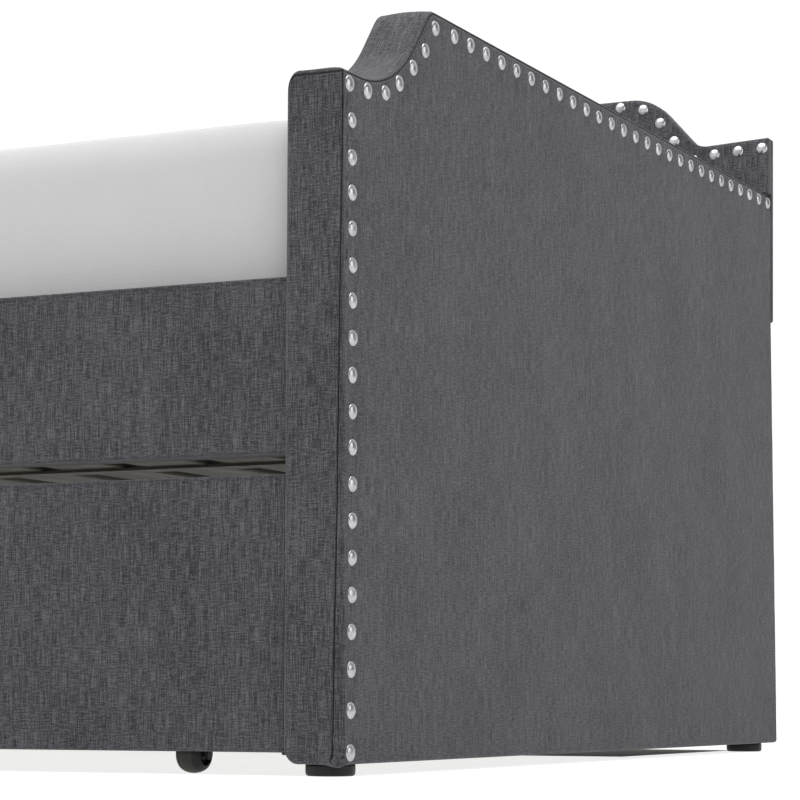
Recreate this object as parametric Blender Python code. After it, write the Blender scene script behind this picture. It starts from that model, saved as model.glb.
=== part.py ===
"""Upholstered daybed with a roll-out trundle.

Units are metres and +Z is up.  The origin is on the floor at the middle of the bed's
footprint.  +X runs along the bed, -Y is the open front that the trundle rolls out of.
"""
import math

import bmesh
import bpy
from mathutils import Vector

# ---- driving dimensions -----------------------------------------------------------------
GAP = 0.0003                 # air between pieces that rest on each other

HALF_LENGTH = 1.040          # bed centre to the outer face of an arm
FRONT_Y = -0.751             # front face of the arms

ARM_THICKNESS = 0.070
ARM_REAR_Y = 0.7353          # up to where the backrest starts to lean
ARM_BOTTOM_Z = 0.0125
ARM_LOW_Z = 0.753            # top of the arm's low front
ARM_HIGH_Z = 0.8685          # top of the arm's level run
ARM_RISE_START_Y = -0.710
ARM_RISE_END_Y = -0.515
ARM_LOW_RADIUS = 0.180
ARM_HIGH_RADIUS = 0.030
ARM_EDGE_ROUND = 0.006
PADDING = 0.012              # foam and cloth over every wooden core

BACK_LEAN = 0.0468           # how far the backrest leans back per metre of height
BACK_DEPTH = 0.019           # backrest in front of its rear panel
BACK_PADDING = 0.010
BACK_BOTTOM_Z = 0.340
BACK_END_Z = 0.957           # top of the backrest at its ends
BACK_LOW_Z = 0.9545          # top of its shoulders, where they start to rise
BACK_HIGH_Z = 1.042
BACK_RISE_START = 0.103      # measured inwards from the end of the backrest
BACK_RISE_END = 0.232
BACK_LOW_RADIUS = 0.035
BACK_HIGH_RADIUS = 0.080
REAR_PANEL_BOTTOM_Z = 0.665
REAR_PANEL_THICKNESS = 0.0105

FACE_Y = -0.743              # front faces of the rail and of the trundle
RAIL_BOTTOM_Z = 0.341
RAIL_TOP_Z = 0.531
RAIL_DEPTH = 0.045

SLAT_UNDERSIDE_Z = 0.404
SLAT_THICKNESS = 0.018
SLAT_WIDTH = 0.098
SLAT_PITCH = 0.1357
SLAT_COUNT = 13
LEDGER_SIZE = 0.0257
LEDGER_HALF_LENGTH = 0.930
SLAT_REAR_Y = 0.7024
TIE_Y = 0.005
TIE_WIDTH = 0.040
TIE_THICKNESS = 0.0037

MATTRESS_LENGTH = 1.905
MATTRESS_DEPTH = 1.372
MATTRESS_FRONT_Y = -0.684
MATTRESS_TOP_Z = 0.728
MATTRESS_ROUND = 0.030

FOOT_RADIUS = 0.0265
FOOT_X = 1.007
FOOT_FRONT_Y = -0.712
FOOT_REAR_Y = 0.672

STRETCHER_BOTTOM_Z = 0.050
STRETCHER_TOP_Z = 0.120
STRETCHER_THICKNESS = 0.022

BRACKET_LEG = 0.038
BRACKET_STEEL = 0.003
BRACKET_LOW_Z = 0.435
BRACKET_HIGH_Z = 0.505

TRUNDLE_HALF_LENGTH = 0.9675
TRUNDLE_BOTTOM_Z = 0.0248
TRUNDLE_TOP_Z = 0.3188
TRUNDLE_FACE_DEPTH = 0.030
TRUNDLE_BOX_BOTTOM_Z = 0.045
TRUNDLE_BACK_Y = 0.308
TRUNDLE_BACK_TOP_Z = 0.200
BOARD = 0.018                # thickness of the trundle's plain boards
TRUNDLE_SLAT_UNDERSIDE_Z = 0.112
TRUNDLE_SLAT_THICKNESS = 0.015
TRUNDLE_SLAT_WIDTH = 0.090
TRUNDLE_SLAT_PITCH = 0.208
TRUNDLE_SLAT_COUNT = 9
CASTER_RAIL_WIDTH = 0.050
CASTER_RAIL_BOTTOM_Z = 0.0617
CENTER_BEAM_WIDTH = 0.030
CENTER_BEAM_Y = -0.2115

CASTER_X = 0.829
CASTER_FRONT_Y = -0.690
CASTER_REAR_Y = 0.240
WHEEL_RADIUS = 0.021
WHEEL_WIDTH = 0.030
WHEEL_BORE = 0.0033
WHEEL_TREAD_ROUND = 0.0080   # how far the crowned tread falls away at its sides
WHEEL_HUB_RADIUS = 0.0070
WHEEL_DISH_RADIUS = 0.0085
WHEEL_HUB_SHARE = 0.80       # hub and dish stand this far out, as shares of half the width
WHEEL_DISH_SHARE = 0.68
AXLE_RADIUS = 0.0032
AXLE_HEAD_RADIUS = 0.0055
FORK_SIDE_GAP = 0.0015
FORK_STEEL = 0.002
FORK_LEG_RADIUS = 0.0065
FORK_LEG_TOP_HALF_WIDTH = 0.013
FORK_PLATE_LENGTH = 0.044
FORK_PLATE_STEEL = 0.003
FORK_PLATE_LIP = 0.004
RIVET_HEIGHT = 0.0016
RIVET_SINK = 0.0004          # how deep a rivet head sits in its fork leg
ROUND_SIDES = 32

ARM_INNER_X = HALF_LENGTH - ARM_THICKNESS
RAIL_REAR_Y = FACE_Y + RAIL_DEPTH
TRUNDLE_FACE_REAR_Y = FACE_Y + TRUNDLE_FACE_DEPTH


# ---- scene and materials ----------------------------------------------------------------
def clear_scene():
    for item in list(bpy.data.objects):
        bpy.data.objects.remove(item, do_unlink=True)


def make_material(name, color, roughness, metallic=0.0):
    material = bpy.data.materials.new(name)
    material.use_nodes = True
    shader = material.node_tree.nodes["Principled BSDF"]
    shader.inputs["Base Color"].default_value = (*color, 1.0)
    shader.inputs["Roughness"].default_value = roughness
    shader.inputs["Metallic"].default_value = metallic
    material.diffuse_color = (*color, 1.0)
    return material


def make_materials():
    return {
        "upholstery": make_material("charcoal_linen", (0.085, 0.085, 0.092), 0.90),
        "ticking": make_material("white_ticking", (0.78, 0.78, 0.79), 0.85),
        "core": make_material("plywood", (0.55, 0.42, 0.28), 0.65),
        "slat": make_material("pale_slat_wood", (0.60, 0.49, 0.35), 0.60),
        "foot": make_material("black_plastic", (0.012, 0.012, 0.013), 0.50),
        "wheel": make_material("dark_wheel", (0.030, 0.030, 0.025), 0.40),
        "steel": make_material("black_steel", (0.05, 0.05, 0.05), 0.45, 1.0),
    }


def make_empty(name, location):
    empty = bpy.data.objects.new(name, None)
    empty.location = location
    bpy.context.collection.objects.link(empty)
    return empty


def add_object(name, mesh, material, location=(0, 0, 0), parent=None, smooth=False):
    """Link a mesh as one named piece; location is in the world, parent keeps it there."""
    if not mesh.materials:
        mesh.materials.append(material)
    if smooth:
        mesh.shade_smooth()
        mesh.set_sharp_from_angle(angle=math.radians(35))
    piece = bpy.data.objects.new(name, mesh)
    piece.location = Vector(location)
    if parent:
        piece.parent = parent
        piece.location -= parent.location
    bpy.context.collection.objects.link(piece)
    return piece


# ---- mesh building ----------------------------------------------------------------------
def finish_mesh(name, work):
    """Turn every face outwards and hand the work over as a mesh."""
    bmesh.ops.recalc_face_normals(work, faces=work.faces)
    if work.calc_volume(signed=True) < 0:
        bmesh.ops.reverse_faces(work, faces=work.faces)
    mesh = bpy.data.meshes.new(name)
    work.to_mesh(mesh)
    work.free()
    return mesh


def round_edges(work, edges, width, segments=2):
    if width:
        bmesh.ops.bevel(work, geom=edges, offset=width, segments=segments,
                        profile=0.5, affect="EDGES", clamp_overlap=True)


def corner_edges(work, vertices=None):
    """Edges that turn by more than 30 degrees, among the given vertices if any."""
    chosen = []
    for edge in work.edges:
        if vertices and not all(vertex in vertices for vertex in edge.verts):
            continue
        if len(edge.link_faces) == 2 and edge.calc_face_angle() > math.radians(30):
            chosen.append(edge)
    return chosen


def box(name, low, high, material, rounding=0.0, parent=None, segments=2):
    """A box between two corners, with its origin at its middle."""
    low = Vector(low)
    high = Vector(high)
    work = bmesh.new()
    bmesh.ops.create_cube(work, size=1.0)
    bmesh.ops.scale(work, vec=high - low, verts=work.verts)
    round_edges(work, list(work.edges), rounding, segments)
    mesh = finish_mesh(name, work)
    return add_object(name, mesh, material, (low + high) / 2, parent)


def s_curve(start, end, low_radius, high_radius, steps=7):
    """Points from start up to end: a hollow arc, a straight slope and a crowned arc."""
    run = end[0] - start[0]
    rise = end[1] - start[1]
    total = low_radius + high_radius
    shallow, steep = 0.0, math.asin(min(1.0, run / total))
    for _ in range(60):
        slope = (shallow + steep) / 2
        left = rise - total * (1 - math.cos(slope))
        if left > math.tan(slope) * (run - total * math.sin(slope)):
            shallow = slope
        else:
            steep = slope
    points = []
    for step in range(steps + 1):
        angle = slope * step / steps
        points.append((start[0] + low_radius * math.sin(angle),
                       start[1] + low_radius * (1 - math.cos(angle))))
    for step in range(steps + 1):
        angle = slope * (1 - step / steps)
        points.append((end[0] - high_radius * math.sin(angle),
                       end[1] - high_radius * (1 - math.cos(angle))))
    return points


def inset(outline, distance):
    """Move every side of a closed counter-clockwise outline inwards by one distance."""
    result = []
    count = len(outline)
    for index in range(count):
        here = Vector(outline[index])
        before = (here - Vector(outline[index - 1])).normalized()
        after = (Vector(outline[(index + 1) % count]) - here).normalized()
        inward = Vector((-before.y - after.y, before.x + after.x)).normalized()
        cosine = inward.dot(Vector((-after.y, after.x)))
        result.append(tuple(here + inward * (distance / cosine)))
    return result


def loop_of(work, outline, place):
    return [work.verts.new(place(*point)) for point in outline]


def strip(work, first, second, skip=()):
    count = len(first)
    for index in range(count):
        if index not in skip:
            after = (index + 1) % count
            work.faces.new((first[index], first[after], second[after], second[index]))


def prism_mesh(name, outline, place, low, high, rounding=0.0):
    """An outline pushed from low to high; place(u, v, depth) puts a point in the world."""
    work = bmesh.new()
    first = loop_of(work, outline, lambda u, v: place(u, v, low))
    second = loop_of(work, outline, lambda u, v: place(u, v, high))
    work.faces.new(first)
    work.faces.new(second)
    strip(work, first, second)
    bmesh.ops.recalc_face_normals(work, faces=work.faces)
    round_edges(work, corner_edges(work), rounding)
    return finish_mesh(name, work)


def prism(name, outline, place, low, high, material, rounding=0.0, parent=None):
    mesh = prism_mesh(name, outline, place, low, high, rounding)
    return add_object(name, mesh, material, parent=parent)


def open_back_shell(name, outline, place, front, back, wall, material, rounding=0.0, parent=None):
    """A wrapped cover: closed in front, open at the back, hollow inside its wall."""
    work = bmesh.new()
    outer_front = loop_of(work, outline, lambda u, v: place(u, v, front))
    outer_back = loop_of(work, outline, lambda u, v: place(u, v, back))
    hollow = inset(outline, wall)
    inner_front = loop_of(work, hollow, lambda u, v: place(u, v, front + wall))
    inner_back = loop_of(work, hollow, lambda u, v: place(u, v, back))
    work.faces.new(outer_front)
    work.faces.new(inner_front)
    strip(work, outer_front, outer_back)
    strip(work, outer_back, inner_back)
    strip(work, inner_back, inner_front)
    bmesh.ops.recalc_face_normals(work, faces=work.faces)
    round_edges(work, corner_edges(work, set(outer_front)), rounding)
    return add_object(name, finish_mesh(name, work), material, parent=parent)


# ---- arms -------------------------------------------------------------------------------
def lean(z):
    """How far back the leaning backrest is at a height."""
    return (z - REAR_PANEL_BOTTOM_Z) * BACK_LEAN


def arm_outline():
    """Side view of an arm as (y, z), counter-clockwise from its bottom front corner."""
    rise = s_curve((ARM_RISE_START_Y, ARM_LOW_Z), (ARM_RISE_END_Y, ARM_HIGH_Z),
                   ARM_LOW_RADIUS, ARM_HIGH_RADIUS)
    corners = [(FRONT_Y, ARM_BOTTOM_Z), (ARM_REAR_Y, ARM_BOTTOM_Z),
               (ARM_REAR_Y, REAR_PANEL_BOTTOM_Z), (ARM_REAR_Y + lean(ARM_HIGH_Z), ARM_HIGH_Z)]
    return corners + rise[::-1] + [(FRONT_Y, ARM_LOW_Z)]


def to_floor(outline):
    """Bring the first two points, the outline's foot, back down to the arm's bottom."""
    return [(y, ARM_BOTTOM_Z) if index < 2 else (y, z) for index, (y, z) in enumerate(outline)]


def arm_cover(name, side, material):
    """Cloth and foam over an arm: a bag that is open underneath."""
    outer_x = side * HALF_LENGTH
    inner_x = side * ARM_INNER_X
    outline = arm_outline()
    hollow = to_floor(inset(outline, PADDING))
    work = bmesh.new()
    loops = []
    for points, wall in ((outline, 0.0), (hollow, PADDING)):
        for x in (outer_x - side * wall, inner_x + side * wall):
            loops.append(loop_of(work, points, lambda y, z, x=x: (x, y, z)))
    outer_a, outer_b, hollow_a, hollow_b = loops
    for loop in loops:
        work.faces.new(loop)
    strip(work, outer_a, outer_b, skip=(0,))
    strip(work, hollow_a, hollow_b, skip=(0,))
    rim_outer = (outer_a[0], outer_a[1], outer_b[1], outer_b[0])
    rim_hollow = (hollow_a[0], hollow_a[1], hollow_b[1], hollow_b[0])
    strip(work, rim_outer, rim_hollow)
    bmesh.ops.recalc_face_normals(work, faces=work.faces)
    round_edges(work, corner_edges(work, set(outer_a + outer_b)), ARM_EDGE_ROUND)
    return add_object(name, finish_mesh(name, work), material)


def arm_frame(name, side, material):
    outline = to_floor(inset(arm_outline(), PADDING + GAP))
    low = side * (ARM_INNER_X + PADDING + GAP)
    high = side * (HALF_LENGTH - PADDING - GAP)
    return prism(name, outline, lambda y, z, x: (x, y, z), low, high, material)


def foot(name, x, y, material):
    work = bmesh.new()
    height = ARM_BOTTOM_Z - GAP
    bmesh.ops.create_cone(work, cap_ends=True, segments=ROUND_SIDES,
                          radius1=FOOT_RADIUS, radius2=FOOT_RADIUS, depth=height)
    bottom = [edge for edge in work.edges if all(vertex.co.z < 0 for vertex in edge.verts)]
    round_edges(work, bottom, 0.0015)
    return add_object(name, finish_mesh(name, work), material, (x, y, height / 2), smooth=True)


def build_arms(materials):
    for label, side in (("left", -1), ("right", 1)):
        arm_frame(f"arm_{label}_frame", side, materials["core"])
        arm_cover(f"arm_{label}_cover", side, materials["upholstery"])
        for place, y in (("front", FOOT_FRONT_Y), ("rear", FOOT_REAR_Y)):
            foot(f"foot_{label}_{place}", side * FOOT_X, y, materials["foot"])


# ---- backrest ---------------------------------------------------------------------------
def shoulder():
    """Right shoulder of the backrest as (x, z), from its outer end to the level top."""
    curve = s_curve((BACK_RISE_START, BACK_LOW_Z), (BACK_RISE_END, BACK_HIGH_Z),
                    BACK_LOW_RADIUS, BACK_HIGH_RADIUS)
    return [(HALF_LENGTH, BACK_END_Z)] + [(HALF_LENGTH - u, z) for u, z in curve]


def mirrored(points):
    return [(-x, z) for x, z in reversed(points)]


def backrest_outline():
    """Front view of the backrest: narrow between the arms, full width above them."""
    inner = ARM_INNER_X - GAP
    ear = ARM_HIGH_Z + GAP
    right = [(inner, BACK_BOTTOM_Z), (inner, ear), (HALF_LENGTH, ear)] + shoulder()
    return right + mirrored(right)


def rear_panel_outline():
    right = [(HALF_LENGTH, REAR_PANEL_BOTTOM_Z)] + shoulder()
    return right + mirrored(right)


def build_backrest(materials):
    def place(x, z, y):
        return x, y + lean(z), z

    split = ARM_REAR_Y
    front = split - BACK_DEPTH
    outline = backrest_outline()
    open_back_shell("back_cover", outline, place, front, split, BACK_PADDING,
                    materials["upholstery"], 0.005)
    prism("back_frame", inset(outline, BACK_PADDING + GAP), place,
          front + BACK_PADDING + GAP, split, materials["core"])
    prism("back_rear_panel", rear_panel_outline(), place, split + GAP,
          split + GAP + REAR_PANEL_THICKNESS, materials["upholstery"], 0.003)
    box("rear_stretcher",
        (-ARM_INNER_X + GAP, ARM_REAR_Y - STRETCHER_THICKNESS, STRETCHER_BOTTOM_Z),
        (ARM_INNER_X - GAP, ARM_REAR_Y, STRETCHER_TOP_Z), materials["core"], 0.002)


# ---- front rail, slats and mattress -----------------------------------------------------
def rectangle(low, high):
    return [(low[0], low[1]), (high[0], low[1]), (high[0], high[1]), (low[0], high[1])]


def wrapped_board(names, low_x, high_x, low_z, high_z, rear_y, materials, parent=None):
    """A board with a padded cover folded round its front and its four edges."""
    def place(x, z, y):
        return x, y, z

    outline = rectangle((low_x, low_z), (high_x, high_z))
    board, cover = names
    prism(board, inset(outline, PADDING + GAP), place, FACE_Y + PADDING + GAP, rear_y,
          materials["core"], parent=parent)
    open_back_shell(cover, outline, place, FACE_Y, rear_y, PADDING,
                    materials["upholstery"], 0.005, parent)


def rail_bracket(name, side, material):
    """A steel angle that bolts the front rail to an arm."""
    corner_x = side * (ARM_INNER_X - GAP)
    corner_y = RAIL_REAR_Y + GAP
    leg = side * BRACKET_LEG
    steel = side * BRACKET_STEEL
    outline = [(corner_x, corner_y), (corner_x, corner_y + BRACKET_LEG),
               (corner_x - steel, corner_y + BRACKET_LEG),
               (corner_x - steel, corner_y + BRACKET_STEEL),
               (corner_x - leg, corner_y + BRACKET_STEEL), (corner_x - leg, corner_y)]
    prism(name, outline, lambda x, y, z: (x, y, z), BRACKET_LOW_Z, BRACKET_HIGH_Z, material)


def build_rail(materials):
    reach = ARM_INNER_X - GAP
    wrapped_board(("front_rail_board", "front_rail_cover"), -reach, reach,
                  RAIL_BOTTOM_Z, RAIL_TOP_Z, RAIL_REAR_Y, materials)
    rail_bracket("rail_bracket_left", -1, materials["steel"])
    rail_bracket("rail_bracket_right", 1, materials["steel"])


def build_slats(materials):
    ledger_top = SLAT_UNDERSIDE_Z - GAP
    ledger_low = ledger_top - LEDGER_SIZE
    for name, front in (("front_ledger", RAIL_REAR_Y + GAP),
                        ("rear_ledger", SLAT_REAR_Y - LEDGER_SIZE)):
        box(name, (-LEDGER_HALF_LENGTH, front, ledger_low),
            (LEDGER_HALF_LENGTH, front + LEDGER_SIZE, ledger_top), materials["slat"], 0.001)
    reach = (SLAT_COUNT - 1) / 2 * SLAT_PITCH + SLAT_WIDTH / 2
    box("slat_tie_batten", (-reach, TIE_Y - TIE_WIDTH / 2, ledger_top - TIE_THICKNESS),
        (reach, TIE_Y + TIE_WIDTH / 2, ledger_top), materials["slat"])
    for index in range(SLAT_COUNT):
        x = (index - (SLAT_COUNT - 1) / 2) * SLAT_PITCH
        box(f"bed_slat_{index + 1:02d}",
            (x - SLAT_WIDTH / 2, RAIL_REAR_Y + 2 * GAP, SLAT_UNDERSIDE_Z),
            (x + SLAT_WIDTH / 2, SLAT_REAR_Y, SLAT_UNDERSIDE_Z + SLAT_THICKNESS),
            materials["slat"], 0.002, segments=1)


def build_mattress(materials):
    bottom = SLAT_UNDERSIDE_Z + SLAT_THICKNESS + GAP
    box("mattress", (-MATTRESS_LENGTH / 2, MATTRESS_FRONT_Y, bottom),
        (MATTRESS_LENGTH / 2, MATTRESS_FRONT_Y + MATTRESS_DEPTH, MATTRESS_TOP_Z),
        materials["ticking"], MATTRESS_ROUND, segments=3)


# ---- trundle ----------------------------------------------------------------------------
def build_trundle_box(materials, parent):
    length = TRUNDLE_HALF_LENGTH
    front = TRUNDLE_FACE_REAR_Y + GAP
    back = TRUNDLE_BACK_Y - BOARD
    slat_low = TRUNDLE_SLAT_UNDERSIDE_Z
    slat_high = slat_low + TRUNDLE_SLAT_THICKNESS
    support = slat_low - GAP
    wood = materials["slat"]
    wrapped_board(("trundle_front_board", "trundle_front_cover"), -length, length,
                  TRUNDLE_BOTTOM_Z, TRUNDLE_TOP_Z, TRUNDLE_FACE_REAR_Y, materials, parent)
    box("trundle_back_board", (-length, back, TRUNDLE_BOX_BOTTOM_Z),
        (length, TRUNDLE_BACK_Y, TRUNDLE_BACK_TOP_Z), wood, 0.002, parent)
    rail_inner = CASTER_X - CASTER_RAIL_WIDTH / 2
    rail_outer = CASTER_X + CASTER_RAIL_WIDTH / 2
    for label, side in (("left", -1), ("right", 1)):
        ends = sorted((side * (length - BOARD), side * length))
        box(f"trundle_side_{label}", (ends[0], front, TRUNDLE_BOX_BOTTOM_Z),
            (ends[1], back - GAP, slat_high), wood, 0.002, parent)
        ends = sorted((side * rail_inner, side * rail_outer))
        box(f"trundle_caster_rail_{label}", (ends[0], front, CASTER_RAIL_BOTTOM_Z),
            (ends[1], back - GAP, support), wood, 0.002, parent)
    reach = rail_inner - GAP
    for label, low_y in (("front", front), ("back", back - GAP - LEDGER_SIZE)):
        box(f"trundle_ledger_{label}", (-reach, low_y, support - LEDGER_SIZE),
            (reach, low_y + LEDGER_SIZE, support), wood, 0.001, parent)
    box("trundle_center_beam",
        (-reach, CENTER_BEAM_Y - CENTER_BEAM_WIDTH / 2, CASTER_RAIL_BOTTOM_Z),
        (reach, CENTER_BEAM_Y + CENTER_BEAM_WIDTH / 2, support), wood, 0.002, parent)
    for index in range(TRUNDLE_SLAT_COUNT):
        x = (index - (TRUNDLE_SLAT_COUNT - 1) / 2) * TRUNDLE_SLAT_PITCH
        box(f"trundle_slat_{index + 1:02d}", (x - TRUNDLE_SLAT_WIDTH / 2, front + GAP, slat_low),
            (x + TRUNDLE_SLAT_WIDTH / 2, back - 2 * GAP, slat_high), wood, 0.002, parent, 1)


# ---- casters ----------------------------------------------------------------------------
def wheel_mesh():
    """A crowned wheel turned round the X axis, with a running bore and dished sides."""
    half = WHEEL_WIDTH / 2
    hub = half * WHEEL_HUB_SHARE
    dish = half * WHEEL_DISH_SHARE
    shoulder_radius = WHEEL_RADIUS - WHEEL_TREAD_ROUND
    steps = 6
    profile = [(-hub, WHEEL_BORE), (-hub, WHEEL_HUB_RADIUS), (-dish, WHEEL_DISH_RADIUS)]
    for step in range(steps + 1):
        angle = math.pi * (step / steps - 0.5)
        radius = shoulder_radius + WHEEL_TREAD_ROUND * math.cos(angle)
        profile.append((half * math.sin(angle), radius))
    profile += [(dish, WHEEL_DISH_RADIUS), (hub, WHEEL_HUB_RADIUS), (hub, WHEEL_BORE)]
    work = bmesh.new()
    rings = []
    for side in range(ROUND_SIDES):
        angle = 2 * math.pi * side / ROUND_SIDES
        rings.append(loop_of(work, profile, lambda x, r, a=angle:
                             (x, r * math.cos(a), r * math.sin(a))))
    for side in range(ROUND_SIDES):
        strip(work, rings[side], rings[(side + 1) % ROUND_SIDES])
    return finish_mesh("caster_wheel", work)


def cylinder_x(name, radius, low, high):
    circle = [(radius * math.cos(2 * math.pi * side / ROUND_SIDES),
               radius * math.sin(2 * math.pi * side / ROUND_SIDES)) for side in range(ROUND_SIDES)]
    return prism_mesh(name, circle, lambda y, z, x: (x, y, z), low, high)


def fork_leg_outline(top):
    """Side view of a fork leg about its axle: a round end that widens up to the plate."""
    points = []
    for step in range(9):
        angle = math.pi * (1 + step / 8)
        points.append((FORK_LEG_RADIUS * math.cos(angle), FORK_LEG_RADIUS * math.sin(angle)))
    return points + [(FORK_LEG_TOP_HALF_WIDTH, top), (-FORK_LEG_TOP_HALF_WIDTH, top)]


def fork_mesh():
    """Plate, two legs and a riveted axle joined into one body, about the axle's centre."""
    top = CASTER_RAIL_BOTTOM_Z - GAP - WHEEL_RADIUS
    leg_in = WHEEL_WIDTH / 2 + FORK_SIDE_GAP
    leg_out = leg_in + FORK_STEEL
    half = FORK_PLATE_LENGTH / 2
    plate_half_width = leg_out + FORK_PLATE_LIP
    plate = rectangle((-plate_half_width, top - FORK_PLATE_STEEL), (plate_half_width, top))
    parts = [prism_mesh("plate", plate, lambda x, z, y: (x, y, z), -half, half)]
    leg = fork_leg_outline(top - FORK_PLATE_STEEL / 2)
    for low, high in ((leg_in, leg_out), (-leg_out, -leg_in)):
        parts.append(prism_mesh("leg", leg, lambda y, z, x: (x, y, z), low, high))
    axle_end = leg_out - 2 * RIVET_SINK
    parts.append(cylinder_x("axle", AXLE_RADIUS, -axle_end, axle_end))
    rivet_low = leg_out - RIVET_SINK
    rivet_high = leg_out + RIVET_HEIGHT
    for low, high in ((rivet_low, rivet_high), (-rivet_high, -rivet_low)):
        parts.append(cylinder_x("rivet", AXLE_HEAD_RADIUS, low, high))
    base = bpy.data.objects.new("fork_base", parts[0])
    bpy.context.collection.objects.link(base)
    helpers = [base]
    for mesh in parts[1:]:
        helper = bpy.data.objects.new("fork_helper", mesh)
        bpy.context.collection.objects.link(helper)
        helpers.append(helper)
        union = base.modifiers.new("union", "BOOLEAN")
        union.operation = "UNION"
        union.object = helper
    graph = bpy.context.evaluated_depsgraph_get()
    joined = bpy.data.meshes.new_from_object(base.evaluated_get(graph))
    for helper in helpers:
        bpy.data.objects.remove(helper, do_unlink=True)
    return joined


def build_casters(materials, parent):
    wheel = wheel_mesh()
    fork = fork_mesh()
    for depth, y in (("front", CASTER_FRONT_Y), ("rear", CASTER_REAR_Y)):
        for label, side in (("left", -1), ("right", 1)):
            axle = (side * CASTER_X, y, WHEEL_RADIUS)
            add_object(f"caster_fork_{depth}_{label}", fork, materials["steel"], axle, parent)
            add_object(f"caster_wheel_{depth}_{label}", wheel, materials["wheel"], axle, parent,
                       smooth=True)


def main():
    clear_scene()
    materials = make_materials()
    build_arms(materials)
    build_backrest(materials)
    build_rail(materials)
    build_slats(materials)
    build_mattress(materials)
    trundle = make_empty("trundle", (0.0, FACE_Y, 0.0))
    bpy.context.view_layer.update()
    build_trundle_box(materials, trundle)
    build_casters(materials, trundle)


main()
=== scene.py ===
"""Looks of the upholstered daybed with its roll-out trundle.

Lengths are metres in the row frame: +X along the bed, -Y its open front, +Z up.
Every upholstered board is a "slab": a front face, a rim round its outline and a back face,
made on one structured grid, with u and v in the board's plane and w its depth from the front.
"""
import math

import bmesh
import bpy
import numpy as np
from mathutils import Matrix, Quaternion, Vector


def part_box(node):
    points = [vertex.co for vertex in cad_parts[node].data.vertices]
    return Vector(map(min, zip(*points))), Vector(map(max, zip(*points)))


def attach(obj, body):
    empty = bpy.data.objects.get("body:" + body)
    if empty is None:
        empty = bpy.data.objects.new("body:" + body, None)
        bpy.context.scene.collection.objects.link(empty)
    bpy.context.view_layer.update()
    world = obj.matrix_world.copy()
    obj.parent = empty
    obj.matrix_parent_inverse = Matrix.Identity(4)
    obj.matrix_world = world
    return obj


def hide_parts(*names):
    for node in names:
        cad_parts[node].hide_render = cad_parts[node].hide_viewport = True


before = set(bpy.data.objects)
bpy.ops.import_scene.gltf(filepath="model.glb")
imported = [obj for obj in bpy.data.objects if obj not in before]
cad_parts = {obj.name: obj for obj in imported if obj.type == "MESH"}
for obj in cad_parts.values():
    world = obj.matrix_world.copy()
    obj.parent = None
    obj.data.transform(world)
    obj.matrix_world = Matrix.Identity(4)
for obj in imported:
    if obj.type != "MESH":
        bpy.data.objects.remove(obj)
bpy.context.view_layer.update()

# ---- camera -----------------------------------------------------------------------------
CAMERA_PLACE = (2.2898, -3.2256, 0.0859)
CAMERA_YAW = 25.559          # degrees, anticlockwise from looking along +Y
CAMERA_PITCH = 6.3265        # degrees upwards
CAMERA_ROLL = -0.0749
CAMERA_LENS = 119.33         # mm on a 36 mm sensor
FLOOR_GLOW = 0.80            # light table effect that keeps the floor pale under the bed
DARK_FLOOR_MIDDLE_Y = 0.49   # the stretch behind the trundle, which does not glow
DARK_FLOOR_HALF_DEPTH = 0.245
DARK_FLOOR_HALF_LENGTH = 0.97
WORLD_STRENGTH = 1.05
WORLD_RIGHT_STRENGTH = 0.30  # the studio's darker right-hand side

# ---- arms -------------------------------------------------------------------------------
ARM_RISE_START_Y = -0.710
ARM_RISE_END_Y = -0.515
ARM_LOW_Z = 0.753
ARM_LOW_RADIUS = 0.180
ARM_HIGH_RADIUS = 0.030
ARM_REAR_Y = 0.7353          # rear edge, up to where the backrest starts to lean
ARM_LEAN_FROM_Y = 0.60       # the arm's rear part leans with the backrest
ARM_SEAM_Z = 0.7470          # cross seam at the top of the front face
ARM_CORNER_FROM_Y = -0.685   # the inner front corners are rounded from here forwards
ARM_CORNER_FADE = 0.022
ARM_TOP_CORNER = (0.0135, 0.0280)     # how far across and how far down
ARM_BOTTOM_CORNER = (0.0130, 0.0170)
ARM_INNER_ROUND = 0.0050
ARM_LAST_NAIL_Y = 0.7260

# ---- backrest ---------------------------------------------------------------------------
BACK_LEAN = 0.0468           # how far it leans back per metre of height
BACK_LEAN_FROM_Z = 0.665
BACK_END_Z = 0.9595
BACK_LOW_Z = 0.9545
BACK_RISE_START = 0.103
BACK_RISE_END = 0.232
BACK_LOW_RADIUS = 0.035
BACK_HIGH_RADIUS = 0.080
BACK_NAIL_STARTS = ((0.0105, 0.9422), (0.0498, 0.9407), (0.0888, 0.9384), (0.1240, 0.9320),
                    (0.1567, 0.9660), (0.1805, 0.9985), (0.2099, 1.0235), (0.2489, 1.0302))
BACK_NAIL_PITCH = 0.0402

NAIL_RADIUS = 0.00945
NAIL_HEIGHT = 0.0048
NAIL_SINK = 0.0022           # how far below the board's plane a nail's rim sits
NAIL_PULL = 0.0009           # how deep a nail draws the cloth in
NAIL_PULL_REACH = 0.0130
NAIL_FACETS = 20
ARC_STEPS = 6                # columns in each rounded corner of an outline

# ---- mattress and casters ---------------------------------------------------------------
MATTRESS_SWELL = 0.006       # the most that a point may move
MATTRESS_ROUND = 0.020
MATTRESS_VOXEL = 0.018
TREAD_HALF_WIDTH = 0.0076
TREAD_DEPTH = 0.004
WHEEL_CROWN = 0.0080         # how far the crowned rim falls away at its sides


# ---- numbers and curves -----------------------------------------------------------------
def graded(*stretches):
    """Increasing values over (start, end, step) stretches, with no value twice."""
    values = [stretches[0][0]]
    for start, end, step in stretches:
        count = max(1, round((end - start) / step))
        values.extend(np.linspace(start, end, count + 1)[1:])
    return np.array(values)


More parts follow.
